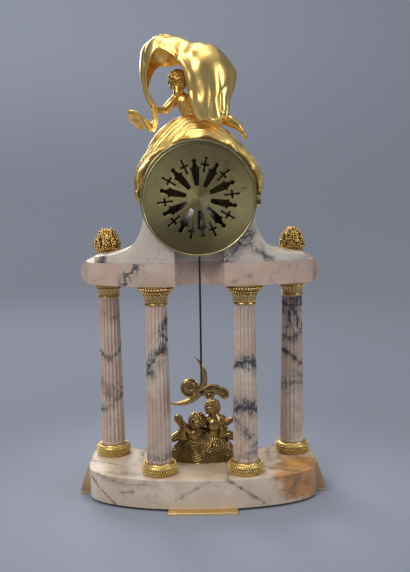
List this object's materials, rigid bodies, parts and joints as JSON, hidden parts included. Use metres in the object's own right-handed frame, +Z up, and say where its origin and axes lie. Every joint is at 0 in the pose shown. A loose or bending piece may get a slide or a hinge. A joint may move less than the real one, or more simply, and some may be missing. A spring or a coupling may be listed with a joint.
{
  "type": "portico clock",
  "caption": "Marble portico clock on fluted columns with gilt figures, a drum movement, a swinging pendulum and hinged front and rear covers.",
  "frame": {"origin": "centre of the clock's footprint on the surface that it stands on", "axes": "+Z up, the dial faces -Y and the fretted rear cover faces +Y"},
  "size_m": [0.2948, 0.1406, 0.5296],
  "materials": {
    "marble": "polished, veined",
    "gilt_bronze": "fire-gilt, burnished",
    "antique_gilt": "darkened gilding",
    "aged_brass": "satin, aged",
    "steel": "drawn, dark",
    "bell_metal": "silvered",
    "enamel": "glossy enamel",
    "glass": "clear"
  },
  "bodies": {
    "case": {"plinth_slab": "marble", "plinth_moulding": "marble", "rear_foot_bar": "gilt_bronze", "corner_feet": "gilt_bronze", "shaft_outer_right": "marble", "shaft_outer_left": "marble", "shaft_inner_right": "marble", "shaft_inner_left": "marble", "base_rings": "gilt_bronze", "capitals": "gilt_bronze", "tie_rods": "steel", "tie_nuts": "steel", "entablature": "marble", "entablature_moulding": "marble", "shoulder_block": "marble", "finial_right": "gilt_bronze", "finial_left": "gilt_bronze", "cherub_mound": "antique_gilt", "cherub_pair": "antique_gilt", "putto": "gilt_bronze", "veil": "gilt_bronze", "mantle": "gilt_bronze", "drum_case": "aged_brass", "rear_hinge_pin": "gilt_bronze", "dial_ring": "gilt_bronze", "bezel_hinge_pin": "gilt_bronze", "dial": "enamel", "movement_straps": "aged_brass", "strap_screws": "steel", "front_plate": "aged_brass", "back_plate": "aged_brass", "plate_pillars": "aged_brass", "suspension_cock": "aged_brass", "suspension_spring": "steel", "bell": "bell_metal", "bell_stand": "aged_brass"},
    "rear_cover": {"rear_cover": "aged_brass"},
    "bezel": {"bezel": "gilt_bronze", "dial_glass": "glass"},
    "pendulum": {"pendulum_rod": "steel", "pendulum_bob": "antique_gilt"},
    "bob_nut": {"bob_nut": "steel"},
    "anchor": {"anchor": "steel"},
    "minute_hand": {"minute_hand": "steel", "cannon_pinion": "aged_brass"},
    "minute_wheel": {"minute_wheel": "aged_brass"},
    "hour_hand": {"hour_hand": "steel", "hour_wheel": "aged_brass"},
    "going_barrel": {"going_barrel": "aged_brass"},
    "going_arbor": {"going_arbor": "steel"},
    "second_wheel": {"second_wheel": "aged_brass"},
    "centre_wheel": {"centre_wheel": "aged_brass"},
    "third_wheel": {"third_wheel": "aged_brass"},
    "escape_wheel": {"escape_wheel": "aged_brass"},
    "striking_barrel": {"striking_barrel": "aged_brass"},
    "striking_arbor": {"striking_arbor": "steel"},
    "strike_wheel": {"strike_wheel": "aged_brass"},
    "pin_wheel": {"pin_wheel": "aged_brass"},
    "fly": {"fly": "aged_brass"},
    "hammer": {"hammer": "steel"}
  },
  "joints": [
    {"name": "rear_cover_hinge", "type": "hinge", "parent": "case", "child": "rear_cover", "pos_m": [-0.0649, 0.0567, 0.3525], "axis": [0, 0, 1], "range_deg": [0, 110]},
    {"name": "bezel_hinge", "type": "hinge", "parent": "case", "child": "bezel", "pos_m": [0.0649, -0.0334, 0.3525], "axis": [0, 0, 1], "range_deg": [0, 110]},
    {"name": "pendulum_swing", "type": "hinge", "parent": "case", "child": "pendulum", "pos_m": [0, 0.0515, 0.3886], "axis": [0, 1, 0], "range_deg": [-4, 4]},
    {"name": "anchor_rock", "type": "hinge", "parent": "case", "child": "anchor", "pos_m": [0, 0, 0.3886], "axis": [0, 1, 0], "range_deg": [-4, 4]},
    {"name": "bob_nut_turn", "type": "hinge", "parent": "pendulum", "child": "bob_nut", "pos_m": [0, 0.0515, 0.1372], "axis": [0, 0, 1], "continuous": true},
    {"name": "minute_hand_turn", "type": "hinge", "parent": "case", "child": "minute_hand", "pos_m": [0, 0, 0.3525], "axis": [0, 1, 0], "continuous": true},
    {"name": "minute_wheel_turn", "type": "hinge", "parent": "case", "child": "minute_wheel", "pos_m": [0.0054, 0, 0.36185], "axis": [0, 1, 0], "continuous": true},
    {"name": "hour_hand_turn", "type": "hinge", "parent": "case", "child": "hour_hand", "pos_m": [0, 0, 0.3525], "axis": [0, 1, 0], "continuous": true},
    {"name": "third_wheel_turn", "type": "hinge", "parent": "case", "child": "third_wheel", "pos_m": [-0.01047, 0, 0.36438], "axis": [0, 1, 0], "continuous": true},
    {"name": "centre_wheel_turn", "type": "hinge", "parent": "case", "child": "centre_wheel", "pos_m": [0, 0, 0.3525], "axis": [0, 1, 0], "continuous": true},
    {"name": "second_wheel_turn", "type": "hinge", "parent": "case", "child": "second_wheel", "pos_m": [0.01567, 0, 0.35855], "axis": [0, 1, 0], "continuous": true},
    {"name": "going_barrel_turn", "type": "hinge", "parent": "case", "child": "going_barrel", "pos_m": [0.0205, 0, 0.3375], "axis": [0, 1, 0], "continuous": true},
    {"name": "escape_wheel_turn", "type": "hinge", "parent": "case", "child": "escape_wheel", "pos_m": [0, 0, 0.3745], "axis": [0, 1, 0], "continuous": true},
    {"name": "going_wind", "type": "hinge", "parent": "case", "child": "going_arbor", "pos_m": [0.0205, 0, 0.3375], "axis": [0, 1, 0], "range_deg": [0, 1440]},
    {"name": "pin_wheel_turn", "type": "hinge", "parent": "case", "child": "pin_wheel", "pos_m": [-0.02828, 0, 0.37077], "axis": [0, 1, 0], "continuous": true},
    {"name": "strike_wheel_turn", "type": "hinge", "parent": "case", "child": "strike_wheel", "pos_m": [-0.02609, 0, 0.35836], "axis": [0, 1, 0], "continuous": true},
    {"name": "striking_barrel_turn", "type": "hinge", "parent": "case", "child": "striking_barrel", "pos_m": [-0.0205, 0, 0.3375], "axis": [0, 1, 0], "continuous": true},
    {"name": "fly_turn", "type": "hinge", "parent": "case", "child": "fly", "pos_m": [-0.02471, 0, 0.38058], "axis": [0, 1, 0], "continuous": true},
    {"name": "striking_wind", "type": "hinge", "parent": "case", "child": "striking_arbor", "pos_m": [-0.0205, 0, 0.3375], "axis": [0, 1, 0], "range_deg": [0, 1440]},
    {"name": "hammer_lift", "type": "hinge", "parent": "case", "child": "hammer", "pos_m": [-0.04, 0, 0.3625], "axis": [0, 1, 0], "range_deg": [0, 12], "stiffness_Nm_per_rad": 0.01, "springref_deg": -11.46}
  ],
  "couplings": [
    {"joint": "anchor_rock", "follows": "pendulum_swing", "ratio": 1},
    {"joint": "minute_wheel_turn", "follows": "minute_hand_turn", "ratio": -0.33333},
    {"joint": "hour_hand_turn", "follows": "minute_hand_turn", "ratio": 0.083333},
    {"joint": "centre_wheel_turn", "follows": "third_wheel_turn", "ratio": -0.1},
    {"joint": "second_wheel_turn", "follows": "third_wheel_turn", "ratio": 0.016667},
    {"joint": "going_barrel_turn", "follows": "third_wheel_turn", "ratio": -0.002381},
    {"joint": "escape_wheel_turn", "follows": "third_wheel_turn", "ratio": -12},
    {"joint": "strike_wheel_turn", "follows": "pin_wheel_turn", "ratio": -0.16667},
    {"joint": "striking_barrel_turn", "follows": "pin_wheel_turn", "ratio": 0.02381},
    {"joint": "fly_turn", "follows": "pin_wheel_turn", "ratio": -6.25}
  ]
}
